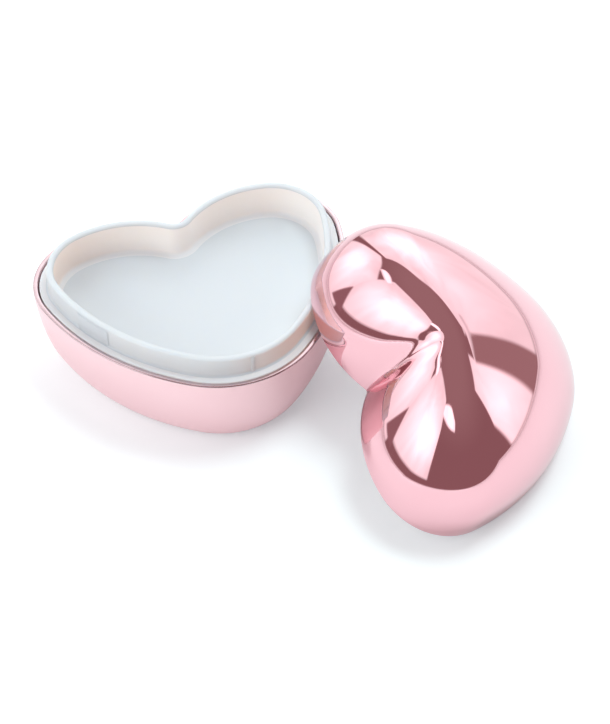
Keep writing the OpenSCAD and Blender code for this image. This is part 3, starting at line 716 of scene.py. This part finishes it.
def add_floor():
    bm = bmesh.new()
    bmesh.ops.create_grid(bm, x_segments=2, y_segments=2, size=FLOOR_SIZE)
    mesh = bpy.data.meshes.new("floor")
    bm.to_mesh(mesh)
    bm.free()
    floor = bpy.data.objects.new("floor", mesh)
    bpy.context.collection.objects.link(floor)
    mat, tree, bsdf = material("floor_paper")
    bsdf.inputs["Base Color"].default_value = (*PAPER, 1)
    bsdf.inputs["Roughness"].default_value = 0.9
    bsdf.inputs["Specular IOR Level"].default_value = 0.2
    lift_for_camera(tree, bsdf)
    floor.data.materials.append(mat)


# ---------------------------------------------------------------- studio
# Colours of the dim room low down and overhead, of a gap between softboxes and of the table's edge
ROOM_LOW, ROOM_HIGH = (0.265, 0.155, 0.16), (0.33, 0.22, 0.22)
GAP = (0.3, 0.18, 0.19)
BROAD_GAP = (0.36, 0.24, 0.24)
TABLE = (0.97, 0.97, 0.97)
# How softly (degrees) a softbox begins at its foot, and how much weaker it is there
FOOT_SOFT = 0.8
FOOT_LEVEL = 0.7


class Sky:
    """Builds the studio round the object out of math nodes on the direction looked in."""

    def __init__(self, tree):
        self.tree = tree
        where = tree.nodes.new("ShaderNodeTexCoord")
        split = tree.nodes.new("ShaderNodeSeparateXYZ")
        tree.links.new(where.outputs["Generated"], split.inputs[0])
        x, y, z = split.outputs
        self.az = self.math("MULTIPLY", self.math("ARCTAN2", y, x), math.degrees(1))
        self.el = self.math("MULTIPLY", self.math("ARCSINE", z), math.degrees(1))
        folds = noise(tree, 1.0, 2.0, (4.0, 4.0, 1.0), "Generated", 0.8)
        self.folds = value_range(tree, folds, 0.86, 1.06, 0.3, 0.7)

    def math(self, op, a, b=0.0):
        return math_node(self.tree, op, a, b)

    def product(self, value, *others):
        for other in others:
            value = self.math("MULTIPLY", value, other)
        return value

    def step(self, value, edge, soft):
        """0 below the edge and 1 above it, the edge a number or a socket."""
        node = self.tree.nodes.new("ShaderNodeMapRange")
        node.interpolation_type = "SMOOTHSTEP"
        self.tree.links.new(self.math("SUBTRACT", value, edge), node.inputs["Value"])
        node.inputs["From Min"].default_value = -soft
        node.inputs["From Max"].default_value = soft
        return node.outputs["Result"]

    def mix(self, fac, a, b):
        return mix_colours(self.tree, fac, a, b)

    def off(self, centre):
        """Degrees round from the centre, wrapped to -180..180."""
        turn = self.math("SUBTRACT", self.az, centre - 180.0)
        return self.math("SUBTRACT", self.math("FLOORED_MODULO", turn, 360.0), 180.0)

    def bell(self, d, centre, width):
        return self.math("POWER", self.math("DIVIDE", self.math("SUBTRACT", d, centre), width), 2.0)

    def between(self, d, left, right, soft):
        """1 between two edges, each (degrees from the middle, how much more per degree of height)."""
        left_edge = self.math("SUBTRACT", self.math("MULTIPLY", self.el, -left[1]), left[0])
        right_edge = self.math("ADD", self.math("MULTIPLY", self.el, right[1]), right[0])
        return self.product(self.step(d, left_edge, soft), self.step(right_edge, d, soft))

    def panel(self, sky, centre, left, right, low, top, peak, soft=1.2):
        """A softbox between two edges: top = (height, bend, middle), and peak = (level in its brightest
        place and round it, that place's side and height, its width and tallness)."""
        d = self.off(centre)
        bend = self.math("MULTIPLY", self.math("POWER", self.math("SUBTRACT", d, top[2]), 2.0), top[1])
        mask = self.product(self.between(d, left, right, soft), self.step(self.el, low, FOOT_SOFT),
                            self.step(self.math("SUBTRACT", top[0], bend), self.el, soft))
        inner, outer, at, height, wide, tall = peak
        glow = self.math("ADD", self.bell(d, at, wide), self.bell(self.el, height, tall))
        glow = self.math("EXPONENT", self.math("MULTIPLY", glow, -1.0))
        level = self.math("ADD", self.math("MULTIPLY", glow, inner - outer), outer)
        foot = self.math("MULTIPLY", self.step(self.el, low + 1.3, 0.7), 1 - FOOT_LEVEL)
        level = self.product(level, self.math("ADD", foot, FOOT_LEVEL), self.folds)
        grey = self.tree.nodes.new("ShaderNodeCombineXYZ")
        for socket in grey.inputs:
            self.tree.links.new(level, socket)
        return self.mix(mask, sky, grey.outputs[0])

    def flag(self, sky, centre, left, right, low, high, colour):
        """A dark gap between two panels."""
        mask = self.product(self.between(self.off(centre), left, right, 1.0),
                            self.step(self.el, low, FOOT_SOFT), self.step(high, self.el, FOOT_SOFT))
        return self.mix(mask, sky, colour)


def add_world():
    """Mirrors and light see the studio; the camera, and rays that pass through, see plain white."""
    world = bpy.data.worlds.new("studio")
    bpy.context.scene.world = world
    world.use_nodes = True
    tree = world.node_tree
    sky = Sky(tree)
    room = sky.mix(sky.step(sky.el, 55.0, 20.0), ROOM_LOW, ROOM_HIGH)
    room = sky.flag(room, 2, (16, 0.0), (12, 0.0), 0.5, 41, BROAD_GAP)
    room = sky.panel(room, 55, (47, 0.10), (32, 0.36), 0.0, (69, 0.0068, 2), (2.1, 1.08, 2, 37, 32, 18))
    room = sky.panel(room, 123, (30, -0.32), (28, 0.0), 0.0, (51, 0.012, 0), (2.0, 1.1, 2, 25, 20, 16))
    room = sky.panel(room, 180, (30, 0.0), (27, -0.2), 6, (65, 0.008, 0), (2.1, 1.1, 0, 32, 20, 18))
    room = sky.panel(room, 144, (9, 0.0), (9, 0.0), 49, (56, 0.03, 0), (1.9, 1.7, 0, 52, 10, 5))
    room = sky.flag(room, 150, (9.5, -0.45), (9.5, -0.45), 3.0, 21.0, GAP)
    room = sky.panel(room, -16, (11, 0.03), (11, -0.02), 0.0, (52, 0.0, 0), (1.7, 1.2, 0, 20, 12, 18))
    room = sky.panel(room, -145, (20, 0.0), (22, 0.0), 54, (66, 0.012, 0), (1.9, 1.7, 0, 60, 20, 10))
    room = sky.panel(room, 1, (8, 0.0), (9, 0.0), 41, (43.5, 0.0, 0), (1.2, 1.0, 0, 42, 10, 5), 0.8)
    room = sky.mix(sky.step(sky.el, 0.0, 0.5), TABLE, room)
    path = tree.nodes.new("ShaderNodeLightPath").outputs
    seen = sky.math("MAXIMUM", path["Is Camera Ray"], path["Is Transmission Ray"])
    background = tree.nodes["Background"]
    tree.links.new(sky.mix(seen, room, (1.0, 1.0, 1.0)), background.inputs["Color"])
    background.inputs["Strength"].default_value = 1.0


# Name, place, target, size (m), watts, colour
LAMPS = [
    ("overhead_panel", (0.5, 0.02, 1.4), (0.0, 0.0, 0.0), 0.6, 9, (0.84, 1.0, 1.0)),
    ("front_fill", (-0.35, -1.4, 0.35), (0.03, -0.02, 0.02), 0.8, 4.5, (0.9, 1.0, 1.0)),
    ("left_fill", (-1.2, -0.4, 0.65), (0.0, 0.0, 0.03), 0.8, 5.5, (0.9, 1.0, 1.0)),
]


def area_light(name, at, target, size, energy, colour):
    data = bpy.data.lights.new(name, "AREA")
    data.energy = energy
    data.color = colour
    data.size = size
    lamp = bpy.data.objects.new(name, data)
    bpy.context.collection.objects.link(lamp)
    lamp.location = at
    lamp.rotation_euler = (Vector(target) - Vector(at)).to_track_quat("-Z", "Y").to_euler()
    lamp.visible_glossy = False


# The photograph's camera: its focal length is 1800 of the picture's 610 pixels of width
SENSOR = 36.0
FOCAL_PIXELS = 1800.0
PICTURE_WIDTH = 610.0
CAMERA_AT = (-0.153937, -0.453512, 0.494928)
CAMERA_TILT = 43.931
CAMERA_TURN = -22.946


def add_camera():
    data = bpy.data.cameras.new("camera")
    data.sensor_fit = "HORIZONTAL"
    data.sensor_width = SENSOR
    data.lens = SENSOR * FOCAL_PIXELS / PICTURE_WIDTH
    camera = bpy.data.objects.new("camera", data)
    bpy.context.collection.objects.link(camera)
    camera.location = CAMERA_AT
    camera.rotation_euler = (math.radians(CAMERA_TILT), 0, math.radians(CAMERA_TURN))
    bpy.context.scene.camera = camera


def main():
    add_camera()
    dress_cad_nodes()
    finish_piece(make_base_shell(), "base", "pink_metallised", ["base_satin", "rim_painted_reflection"], "base_shell")
    finish_piece(make_tray(), "base", "white_plastic", ["white_plastic", "painted_light_plastic"], "tray")
    finish_piece(make_lid_shell(), "lid", "pink_metallised", ["lid_mirror", "base_satin"], "lid_shell")
    for node, radius in EASED.items():
        ease_edges(node, radius)
    finish_piece(make_seat_ring(), "lid", "white_plastic", ["white_plastic"], "lid_seat_ring")
    add_floor()
    add_world()
    for lamp in LAMPS:
        area_light(*lamp)
    bpy.context.scene.view_settings.view_transform = "Standard"


main()
